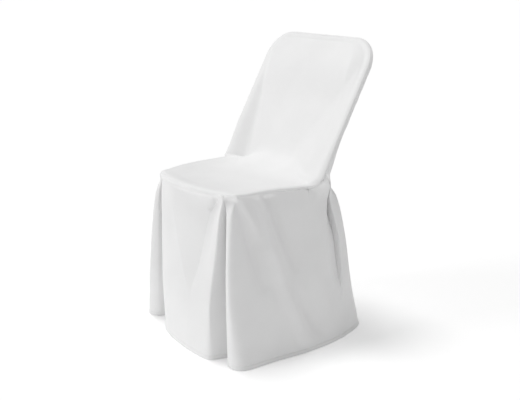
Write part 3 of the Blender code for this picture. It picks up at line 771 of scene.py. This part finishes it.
def hung_rows(tops, levels, shares):
    """A skirt's points, a row for each share of the way from its seam down to the hem."""
    columns = [(top, [level[k] for level in levels]) for k, top in enumerate(tops)]
    return [[hang(top, places, share) for top, places in columns] for share in shares]


def row_shares(length, cloth):
    """Shares of the way down a skirt: closer at the seam and at the hem's stitches than between."""
    shares = [0.0] + [place / length for place in SEAM_ROWS]
    hem = [(length - cloth.hem_depth + place) / length for place in HEM_ROWS] + [1 - LAST_ROW / length, 1.0]
    steps = round((hem[0] - shares[-1]) * length / cloth.grid)
    middle = [shares[-1] + (hem[0] - shares[-1]) * k / steps for k in range(1, steps)]
    return shares + middle + hem


def fold_height(along, z, folds):
    """How far the soft folds raise or sink the cloth at a place."""
    raised = 0.0
    for _, top_along, top_z, foot_along, foot_z, width, height in folds:
        line = Vector((foot_along - top_along, foot_z - top_z))
        offset = Vector((along - top_along, z - top_z))
        share = min(max(offset.dot(line) / line.length_squared, 0.0), 1.0)
        distance = (offset - line * share).length / width
        strength = sin(pi * (0.15 + 0.7 * share))  # full in the fold's middle, under half at its ends
        raised += height * strength * exp(-distance * distance)
    return raised * smooth_step(z / FOLDS_END_ABOVE_HEM)


def valley_depth(x, z):
    """How deep the front's valley is at a place."""
    crease = table(FRONT_VALLEY, 0, z, 1)
    bottom = table(FRONT_VALLEY, 0, z, 2)
    depth = max(table(FRONT_VALLEY, 0, z, 3), 0.0)
    if x <= bottom:
        return depth * max((x - crease) / max(bottom - crease, VALLEY_LEAST_CREASE), 0.0)
    return depth * (1 - eased_ramp((x - bottom) / VALLEY_SOFT_SIDE))


def side_folds(point):
    return fold_height(point.y, point.z, SIDE_FOLDS)


def slow_waves(point, seed, height):
    """The cloth's slow unevenness, at a place."""
    place = Vector((point.x, point.y, point.z * 0.6)) + Vector((seed, seed * 1.7, -seed))
    fine = noise.noise(place * FINE_WAVES_PER_METRE)
    return height * (noise.noise(place * SLOW_WAVES_PER_METRE) + FINE_WAVES_SHARE * fine)


def seam_profile(distance, along, cloth, seed):
    """How the cloth lies beside a seam: turned in at the edge, raised over its allowance, then puckered."""
    turned = max(1 - distance / cloth.seam_width, 0.0) ** 2
    ridge = exp(-(((distance - 1.6 * cloth.seam_width) / (0.7 * cloth.seam_width)) ** 2))
    wave = noise.noise(Vector((along * PUCKERS_PER_METRE, seed, 0)))
    wave += 0.6 * noise.noise(Vector((along * FINE_PUCKERS_PER_METRE, seed, 3)))
    reach = exp(-distance / PUCKER_REACH) * min(distance / cloth.seam_width, 1.0)
    return -cloth.seam_turn * turned + cloth.welt * ridge + cloth.pucker * wave * reach


def hem_profile(height, along, cloth, seed):
    """The double hem's extra thickness, drawn in along its stitches."""
    doubled = HEM_EXTRA * (1 - smooth_step((height - cloth.hem_depth) / HEM_EDGE + 1))
    drawn = exp(-(((height - cloth.hem_depth) / STITCHES_WIDTH) ** 2))
    wave = noise.noise(Vector((along * HEM_PUCKERS_PER_METRE, seed, 7)))
    near = exp(-(((height - cloth.hem_depth) / HEM_PUCKER_REACH) ** 2))
    return doubled - STITCHES_SINK * drawn + HEM_PUCKER * wave * near


def grid_sheet(name, points, lift, outwards, uv_origin_top):
    """A sheet of cloth over a grid of points, raised along its normals by the lift of each point.

    points is a list of rows. lift(row, column, point, along, down) gives the height, where along and down
    are the cloth's own measures from the first column and the first row.
    """
    cloth = settings()
    rows, columns = len(points), len(points[0])
    across = lengths_along(points[rows // 2])
    down = lengths_along([row[columns // 2] for row in points])
    mesh = bpy.data.meshes.new(name)
    sheet = bmesh.new()
    bmesh.ops.create_grid(sheet, x_segments=columns - 1, y_segments=rows - 1, size=0.5)
    place_of = {}
    for vertex in sheet.verts:
        column = round((vertex.co.x + 0.5) * (columns - 1))
        row = round((vertex.co.y + 0.5) * (rows - 1))
        place_of[vertex.index] = (row, column)
        vertex.co = points[row][column]
    if not outwards:
        bmesh.ops.reverse_faces(sheet, faces=sheet.faces)
    sheet.normal_update()
    raised = []
    for vertex in sheet.verts:
        row, column = place_of[vertex.index]
        height = lift(row, column, vertex.co, across[column], down[row])
        raised.append(vertex.co + vertex.normal * (height + CLOTH - cloth.thickness))
    uv_layer = sheet.loops.layers.uv.new("cloth")
    for face in sheet.faces:
        for loop in face.loops:
            row, column = place_of[loop.vert.index]
            v = down[row] if uv_origin_top else down[-1] - down[row]
            loop[uv_layer].uv = (across[column], v)
    for vertex, place in zip(sheet.verts, raised):
        vertex.co = place - FRAME_ORIGIN
    sheet.to_mesh(mesh)
    sheet.free()
    mesh.shade_smooth()
    piece = bpy.data.objects.new(name, mesh)
    bpy.context.scene.collection.objects.link(piece)
    return piece


def finish_sheet(piece, material, node):
    """Gives a sheet its thickness and cloth, and puts it in place of its CAD node."""
    bpy.ops.object.select_all(action="DESELECT")
    wall = piece.modifiers.new("cloth thickness", "SOLIDIFY")
    wall.thickness = settings().thickness
    wall.offset = 1.0
    bpy.context.view_layer.objects.active = piece
    piece.select_set(True)
    bpy.ops.object.modifier_apply(modifier=wall.name)
    bpy.ops.object.select_all(action="DESELECT")
    piece.data.materials.append(material)
    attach(piece, "root")
    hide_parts(node)


def fill(tree, node, sockets):
    """Gives a node's sockets their values, or links them from another node's output."""
    for socket, value in sockets.items():
        if isinstance(value, bpy.types.NodeSocket):
            tree.links.new(value, node.inputs[socket])
        else:
            node.inputs[socket].default_value = value


def new_node(tree, kind, place, output, sockets=None, **values):
    """Adds a node, and returns the output of it that the next node reads."""
    node = tree.nodes.new("ShaderNode" + kind)
    node.location = place
    for key, value in values.items():
        setattr(node, key, value)
    fill(tree, node, sockets or {})
    return node.outputs[output]


def polyester(name, hemmed):
    """Smooth white polyester: a plain weave, faint unevenness, a soft sheen and, if hemmed, hem stitches."""
    cloth = settings()
    material = bpy.data.materials.new(name)
    material.use_nodes = True
    tree = material.node_tree
    shader = tree.nodes["Principled BSDF"]
    threads = new_node(tree, "UVMap", (-1500, 0), "UV", uv_map="cloth")
    places = new_node(tree, "TexCoord", (-1500, -500), "Object")

    # Slow, faint clouds in the colour and the roughness, as in cloth that has been folded and washed
    sockets = {"Scale": 9.0, "Detail": 4.0, "Vector": places}
    clouds = new_node(tree, "TexNoise", (-1200, 300), "Fac", sockets)
    tone = new_node(tree, "ValToRGB", (-950, 300), "Color", {"Fac": clouds})
    dark, light = tone.node.color_ramp.elements
    dark.position, light.position = 0.30, 0.70
    dark.color = (*[c * 0.975 for c in cloth.colour], 1)
    light.color = (*[min(c * 1.012, 1.0) for c in cloth.colour], 1)
    sockets = {"To Min": cloth.roughness - 0.05, "To Max": cloth.roughness + 0.07, "Value": clouds}
    rough = new_node(tree, "MapRange", (-650, 80), "Result", sockets)

    # Height: warp and weft threads
    weave = []
    sockets = {"Scale": 0.314 / cloth.thread_pitch, "Distortion": 0.6, "Detail": 1.0, "Vector": threads}
    for direction, y in (("X", -150), ("Y", -400)):
        bands = {"wave_type": "BANDS", "bands_direction": direction}
        weave.append(new_node(tree, "TexWave", (-1200, y), "Fac", sockets, **bands))
    woven = new_node(
        tree, "Math", (-950, -250), "Value", {0: weave[0], 1: weave[1]}, operation="MULTIPLY"
    )
    sockets = {"Strength": 0.20, "Distance": 0.00010, "Height": woven}
    weave_normal = new_node(tree, "Bump", (-650, -250), "Normal", sockets)

    # Height: shallow creases that are left after pressing
    sockets = {"Scale": 42.0, "Detail": 5.0, "Roughness": 0.55, "Distortion": 0.4, "Vector": places}
    creases = new_node(tree, "TexNoise", (-950, -550), "Fac", sockets)
    sockets = {"Strength": 0.35, "Distance": 0.0010, "Height": creases, "Normal": weave_normal}
    normal = new_node(tree, "Bump", (-400, -350), "Normal", sockets)
    if hemmed:
        normal = hem_stitches(tree, threads, normal)
    sockets = {
        "Base Color": tone,
        "Roughness": rough,
        "Normal": normal,
        "Metallic": 0.0,
        "IOR": 1.45,
        "Specular IOR Level": 0.28,
        "Sheen Weight": cloth.sheen,
        "Sheen Roughness": 0.45,
    }
    fill(tree, shader, sockets)
    return material


def hem_stitches(tree, threads, normal):
    """A row of stitches pressed into the cloth at the hem's upper edge."""
    cloth = settings()
    along = new_node(tree, "SeparateXYZ", (-1200, -800), "X", {"Vector": threads})
    up = along.node.outputs["Y"]
    sockets = {0: along, 1: 2 * pi / cloth.stitch_length}
    turns = new_node(tree, "Math", (-1000, -750), "Value", sockets, operation="MULTIPLY")
    dash = new_node(tree, "Math", (-820, -750), "Value", {0: turns}, operation="SINE")
    sockets = {"From Min": -0.75, "From Max": -0.35, "Value": dash}
    stitch = new_node(tree, "MapRange", (-640, -750), "Result", sockets)
    sockets = {0: up, 1: cloth.hem_depth}
    line = new_node(tree, "Math", (-1000, -950), "Value", sockets, operation="SUBTRACT")
    away = new_node(tree, "Math", (-820, -950), "Value", {0: line}, operation="ABSOLUTE")
    sockets = {"From Min": 0.0002, "From Max": 0.0006, "To Min": 1.0, "To Max": 0.0, "Value": away}
    band = new_node(tree, "MapRange", (-640, -950), "Result", sockets)
    sewn = new_node(tree, "Math", (-440, -850), "Value", {0: stitch, 1: band}, operation="MULTIPLY")
    sockets = {"Strength": 0.8, "Distance": 0.0005, "Height": sewn, "Normal": normal}
    return new_node(tree, "Bump", (-200, -600), "Normal", sockets)


def even_steps(start, end, steps):
    return [start + (end - start) * k / steps for k in range(steps + 1)]


def even_places(start, end, length, grid):
    """Places from start to end, spaced for a stretch of cloth of that length."""
    return even_steps(start, end, max(round(length / grid), 1))


def column_places(start, first_fold, last_fold, end, grid):
    """Places along the seam for a skirt's columns: those in its pleats lie between each fold and the end."""
    returns, visible = grid
    before = even_steps(start, first_fold, returns)
    after = even_steps(last_fold, end, returns)
    return before[:-1] + even_steps(first_fold, last_fold, visible) + after[1:]


def centre_columns(cloth):
    """Columns of the fine centre panel from the middle to the left seam, closer at the seam."""
    edge = INNER_COLUMNS + EDGE_COLUMNS
    inner = even_places(0.0, INNER_COLUMNS, 0.19, cloth.grid)
    outer = even_places(INNER_COLUMNS, edge - 0.6, 0.018, 0.6 * cloth.grid)
    return inner + outer[1:] + [edge - 0.35, edge - 0.18, edge - 0.06, edge]


def ease_rows(points, rows):
    """Rounds the rows of a sheet from front to back, fully in its middle and less towards its sides."""
    columns = range(len(points[0]))
    across = [points[rows[0]][k].x for k in columns]
    amounts = []
    for x in across:
        lost = smooth_step((abs(x) - EASE_FULL_HALF_WIDTH) / EASE_FADE_WIDTH)
        amounts.append(1 - lost * (EASE_LOST_LEFT if x > 0 else 1.0))
    for _ in range(EASE_TIMES):
        moved = {}
        for row in rows:
            moved[row] = [
                points[row][k].lerp((points[row - 1][k] + points[row + 1][k]) / 2, 0.5 * amounts[k])
                for k in columns
            ]
        for row in rows:
            points[row] = moved[row]


def sew_skirt(name, node, tops, levels, grid, folded, seeds, drift, outwards):
    """Hangs a skirt panel from its seam through its levels in plan, with its folds, seam and hem.

    folded(point) gives the height of the soft folds at a point, and seeds are the seam's, hem's and waves'.
    """
    cloth = settings()
    returns, visible = grid
    columns = visible + 2 * returns
    length = tops[columns // 2].z
    shares = row_shares(length, cloth)
    seam_seed, hem_seed, wave_seed = seeds

    def lift(row, column, point, along, down):
        to_seam = shares[row] * length
        into = min(column - returns, returns + visible - column) / returns
        shown = smooth_step(0.5 + 2 * into) * smooth_step(to_seam / FOLDS_HELD_FLAT)
        free = smooth_step(to_seam / SKIRT_WAVES_HELD_FLAT)
        free *= smooth_step(min(column, columns - column) / returns)
        raised = seam_profile(to_seam, along, cloth, seam_seed)
        raised += hem_profile(point.z, along, cloth, hem_seed)
        return raised + shown * folded(point) + free * slow_waves(point, wave_seed, drift)

    panel = grid_sheet(f"{node}_cloth", hung_rows(tops, levels, shares), lift, outwards, False)
    finish_sheet(panel, polyester(f"{name} skirt polyester", True), node)


class COVER_OT_centre_panel(bpy.types.Operator):
    """Sew the panel that runs over the seat and up the inside of the back"""

    bl_idname = "cover.centre_panel"
    bl_label = "Centre panel"

    def execute(self, context):
        cloth = settings()
        half = centre_columns(cloth)
        columns = [-place for place in half[:0:-1]] + half
        last = CROOK_END + BACK_ROWS
        rows = [0.0, 0.08, 0.2, 0.4] + even_places(0.7, ROLL_ROWS, 0.022, 0.6 * cloth.grid)
        rows += even_places(ROLL_ROWS, SEAT_END, 0.22, cloth.grid)[1:]
        rows += even_places(SEAT_END, CROOK_END, 0.07, 0.9 * cloth.grid)[1:]
        rows += even_places(CROOK_END, last - 0.6, 0.34, cloth.grid)[1:]
        rows += [last - 0.35, last - 0.2, last - 0.1, last - 0.04, last]
        points = [[centre_point(column, row) for column in columns] for row in rows]
        first_eased, last_eased = SEAT_END - EASE_ROWS_BEFORE, CROOK_END + EASE_ROWS_AFTER
        ease_rows(points, [k for k, row in enumerate(rows) if first_eased <= row <= last_eased])
        to_side = from_side_edges(points)
        down = [lengths_along(column) for column in zip(*points)]

        def lift(row, column, point, along, length):
            from_front = down[column][row]
            to_seam = min(to_side[row][column], from_front, down[column][-1] - from_front)
            place = along if to_seam != to_side[row][column] else length
            free = smooth_step(to_seam / WAVES_HELD_FLAT)
            height = seam_profile(to_seam, place, cloth, 1.3)
            return height + free * slow_waves(point, 2.1, 0.35 * cloth.drift)

        panel = grid_sheet("centre_panel_cloth", points, lift, True, True)
        material = polyester("centre panel polyester", False)
        finish_sheet(panel, material, "centre_panel")
        return {"FINISHED"}


class COVER_OT_front_skirt(bpy.types.Operator):
    """Sew the front skirt, with its halves of the two front pleats"""

    bl_idname = "cover.front_skirt"
    bl_label = "Front skirt"

    def execute(self, context):
        seams = seam_under_centre(-1.0), seam_under_centre(1.0)
        reach = PLEAT_SEAM_PLACE - PLEAT_SEAM_GAP
        fold_reach = reach - PLEAT_HALF_MOUTH_TOP
        returns, visible = FRONT_GRID

        def seam_place(distance):
            return along_seam(seams[distance >= 0], abs(distance))

        distances = column_places(-reach, -fold_reach, fold_reach, reach, FRONT_GRID)
        tops = [seam_place(distance) for distance in distances]
        shares = [row[1] for row in FRONT_STATIONS]
        levels = []
        for height in HANG_LEVELS:
            right = pleat(FRONT_PLEAT, height, -1.0, False)
            left = pleat(FRONT_PLEAT, height, 1.0, False)
            places = []
            for row in FRONT_STATIONS:
                top = seam_place(fold_reach * (2 * row[1] - 1))
                places.append(station_place(top, row, height, 1.0, 0.0))
            shown = level_outline(shares, places, visible, right[0], left[0])
            into_right = return_points(right[0], right[1], *right[2:], returns)
            into_left = return_points(left[0], left[1], *left[2:], returns)
            times = FOLD_SOFTENING if height > HEM_SOFT_BELOW else HEM_SOFTENING_FRONT
            levels.append(soften(into_right[::-1] + shown + into_left, times))

        def folded(point):
            return fold_height(point.x, point.z, FRONT_FOLDS) - valley_depth(point.x, point.z)

        seeds, drift = (4.1, 2.2, 5.3), 0.6 * settings().drift
        sew_skirt(
            "front", "front_skirt", tops, levels, FRONT_GRID, folded, seeds, drift, False
        )
        return {"FINISHED"}


class COVER_OT_side_skirts(bpy.types.Operator):
    """Sew the two side skirts, with their halves of the pleats before and behind them"""

    bl_idname = "cover.side_skirts"
    bl_label = "Side skirts"

    def execute(self, context):
        returns, visible = SIDE_GRID
        shares = [row[1] for row in SIDE_STATIONS]
        for name, side in (("left", 1.0), ("right", -1.0)):
            seam = seam_under_centre(side)
            start = PLEAT_SEAM_PLACE + PLEAT_SEAM_GAP
            fold_start = start + PLEAT_HALF_MOUTH_TOP
            end = lengths_along(seam)[-1] - PLEAT_SEAM_GAP
            fold_end = end - PLEAT_HALF_MOUTH_TOP
            distances = column_places(start, fold_start, fold_end, end, SIDE_GRID)
            tops = [along_seam(seam, distance) for distance in distances]
            levels = []
            for height in HANG_LEVELS:
                front = pleat(FRONT_PLEAT, height, side, False)
                rear = pleat(REAR_PLEAT, height, side, True)
                places = []
                for row in SIDE_STATIONS:
                    top = along_seam(seam, fold_start + row[1] * (fold_end - fold_start))
                    places.append(station_place(top, row, height, side, row[1]))
                shown = level_outline(shares, places, visible, front[1], rear[1])
                into_front = return_points(front[1], front[0], *front[2:], returns)
                into_rear = trough_points(rear[1], rear[0], rear[2], returns)
                times = FOLD_SOFTENING if height > HEM_SOFT_BELOW else HEM_SOFTENING_SIDE
                levels.append(soften(into_front[::-1] + shown + into_rear, times))

            seeds, drift, node = (6.7 + side, 3.1 + side, 8.9 + side), settings().drift, f"side_skirt_{name}"
            sew_skirt(
                name, node, tops, levels, SIDE_GRID, side_folds, seeds, drift, side < 0
            )
        return {"FINISHED"}


class COVER_OT_outside_back(bpy.types.Operator):
    """Sew the panel that wraps the rim, falls behind the back and flares out as the rear skirt"""

    bl_idname = "cover.outside_back"
    bl_label = "Outside back"

    def execute(self, context):
        cloth = settings()
        returns, visible = BACK_GRID
        shares = [row[1] for row in BACK_STATIONS[1:]]

        def pocket_column(column):
            """The pocket's own column for a fine column, counted from the middle."""
            if abs(column) <= visible:
                return FLAT_COLUMNS * column / visible
            side = 1.0 if column > 0 else -1.0
            return side * (FLAT_COLUMNS + RIM_COLUMNS * (abs(column) - visible) / returns)

        half = visible + returns
        columns = list(range(-half, half + 1))
        foot = [pocket_point(pocket_column(column), 0.0) for column in columns]
        levels = []
        for height in HANG_LEVELS:
            sides = []
            for side in (-1.0, 1.0):
                rear = pleat(REAR_PLEAT, height, side, True)
                places = []
                for row in BACK_STATIONS:
                    top = pocket_point(side * row[1] * FLAT_COLUMNS, 0.0)
                    places.append(station_place(top, row, height, side, 1.0))
                shown = level_outline(shares, places[1:], visible, places[0], rear[0])
                sides.append(shown + trough_points(rear[0], rear[1], rear[2], returns))
            levels.append(soften(sides[0][::-1] + sides[1][1:], FOLD_SOFTENING))
        length = foot[half].z
        hang_shares = row_shares(length, cloth)[4:]
        hang_shares[0] = 0.0
        pocket_rows = even_places(0.0, 0.965, 0.36, cloth.grid) + [0.975, 0.984, 0.991, 0.996, 1.0]
        points = [
            [pocket_point(pocket_column(column), row) for column in columns]
            for row in reversed(pocket_rows[1:])
        ]
        points += hung_rows(foot, levels, hang_shares)
        pocket_end = len(pocket_rows) - 2
        from_sides = from_side_edges(points)
        from_top = [lengths_along(column) for column in zip(*points)]

        def lift(row, column, point, along, down):
            on_pocket = 1 - smooth_step((row - pocket_end) / 6)
            to_side, to_top = from_sides[row][column], from_top[column][row]
            to_seam = min(to_side, to_top)
            place = along if to_top < to_side else down
            raised = on_pocket * seam_profile(to_seam, place, cloth, 9.4)
            free = smooth_step(to_seam / WAVES_HELD_FLAT)
            if row > pocket_end:
                raised += hem_profile(point.z, along, cloth, 5.5)
                shown = smooth_step((half - abs(column - half)) / returns - 0.5)
                raised += shown * fold_height(point.x, point.z, BACK_FOLDS)
                free = smooth_step((half - abs(column - half)) / returns)
            drift = cloth.drift * (0.4 + 0.9 * (1 - on_pocket))
            return raised + free * slow_waves(point, 12.7, drift)

        panel = grid_sheet("outside_back_cloth", points, lift, True, False)
        material = polyester("outside back polyester", True)
        finish_sheet(panel, material, "outside_back")
        return {"FINISHED"}


def studio_light(name, azimuth, elevation, energy):
    """A soft light far away, by the direction that it comes from."""
    light = bpy.data.lights.new(name, "SUN")
    light.energy = energy
    light.angle = LIGHT_SPREAD
    lamp = bpy.data.objects.new(name, light)
    bpy.context.scene.collection.objects.link(lamp)
    level = cos(elevation)
    way = Vector((sin(azimuth) * level, -cos(azimuth) * level, sin(elevation)))
    lamp.rotation_euler = way.to_track_quat("Z", "Y").to_euler()


class COVER_OT_stage(bpy.types.Operator):
    """Set up the camera, the soft studio light and the pale floor"""

    bl_idname = "cover.stage"
    bl_label = "Stage"

    def execute(self, context):
        scene = context.scene
        stage = scene.cover_stage
        scene.view_settings.view_transform = "Standard"
        camera = bpy.data.objects.new("camera", bpy.data.cameras.new("camera"))
        scene.collection.objects.link(camera)
        camera.data.lens = CAMERA_LENS
        camera.data.sensor_width = 36.0
        camera.location = CAMERA_PLACE - FRAME_ORIGIN
        camera.rotation_euler = (pi / 2 - CAMERA_DOWN, 0, CAMERA_AZIMUTH)
        scene.camera = camera

        bpy.ops.object.select_all(action="DESELECT")
        bpy.ops.mesh.primitive_plane_add(size=stage.floor_size, location=(0, 0, CAD_BOX[0][2] - 0.0005))
        floor = context.active_object
        floor.name = "floor"
        pale = bpy.data.materials.new("pale floor")
        pale.use_nodes = True
        shader = pale.node_tree.nodes["Principled BSDF"]
        shader.inputs["Base Color"].default_value = (*stage.floor_colour, 1)
        shader.inputs["Roughness"].default_value = 1.0
        shader.inputs["Specular IOR Level"].default_value = 0.0
        shader.inputs["Emission Color"].default_value = (1, 1, 1, 1)
        shader.inputs["Emission Strength"].default_value = stage.floor_glow
        floor.data.materials.append(pale)

        for name, azimuth, elevation, energy in LIGHTS:
            studio_light(name, radians(azimuth), radians(elevation), getattr(stage, energy))
        world = bpy.data.worlds.new("white room")
        scene.world = world
        world.use_nodes = True
        background = world.node_tree.nodes["Background"]
        background.inputs["Color"].default_value = (1, 1, 1, 1)
        background.inputs["Strength"].default_value = stage.room_strength
        return {"FINISHED"}


class COVER_PT_sidebar(bpy.types.Panel):
    """The cover's settings and the steps that sew it"""

    bl_idname = "COVER_PT_sidebar"
    bl_label = "Chair cover"
    bl_space_type = "VIEW_3D"
    bl_region_type = "UI"
    bl_category = "Chair cover"

    def draw(self, context):
        layout = self.layout
        for group in (context.scene.cover_cloth, context.scene.cover_stage):
            for name in group.bl_rna.properties.keys():
                if name not in {"rna_type", "name"}:
                    layout.prop(group, name)
        for operator in OPERATORS:
            layout.operator(operator.bl_idname)


OPERATORS = (
    COVER_OT_centre_panel,
    COVER_OT_front_skirt,
    COVER_OT_side_skirts,
    COVER_OT_outside_back,
    COVER_OT_stage,
)
GROUPS = (CoverCloth, CoverStage)


def register():
    for item in (*GROUPS, *OPERATORS, COVER_PT_sidebar):
        bpy.utils.register_class(item)
    bpy.types.Scene.cover_cloth = bpy.props.PointerProperty(type=CoverCloth)
    bpy.types.Scene.cover_stage = bpy.props.PointerProperty(type=CoverStage)


def unregister():
    del bpy.types.Scene.cover_stage
    del bpy.types.Scene.cover_cloth
    for item in reversed((*GROUPS, *OPERATORS, COVER_PT_sidebar)):
        bpy.utils.unregister_class(item)


def main():
    register()
    bpy.ops.cover.stage()
    bpy.ops.cover.centre_panel()
    bpy.ops.cover.front_skirt()
    bpy.ops.cover.side_skirts()
    bpy.ops.cover.outside_back()


if __name__ == "__main__":
    main()
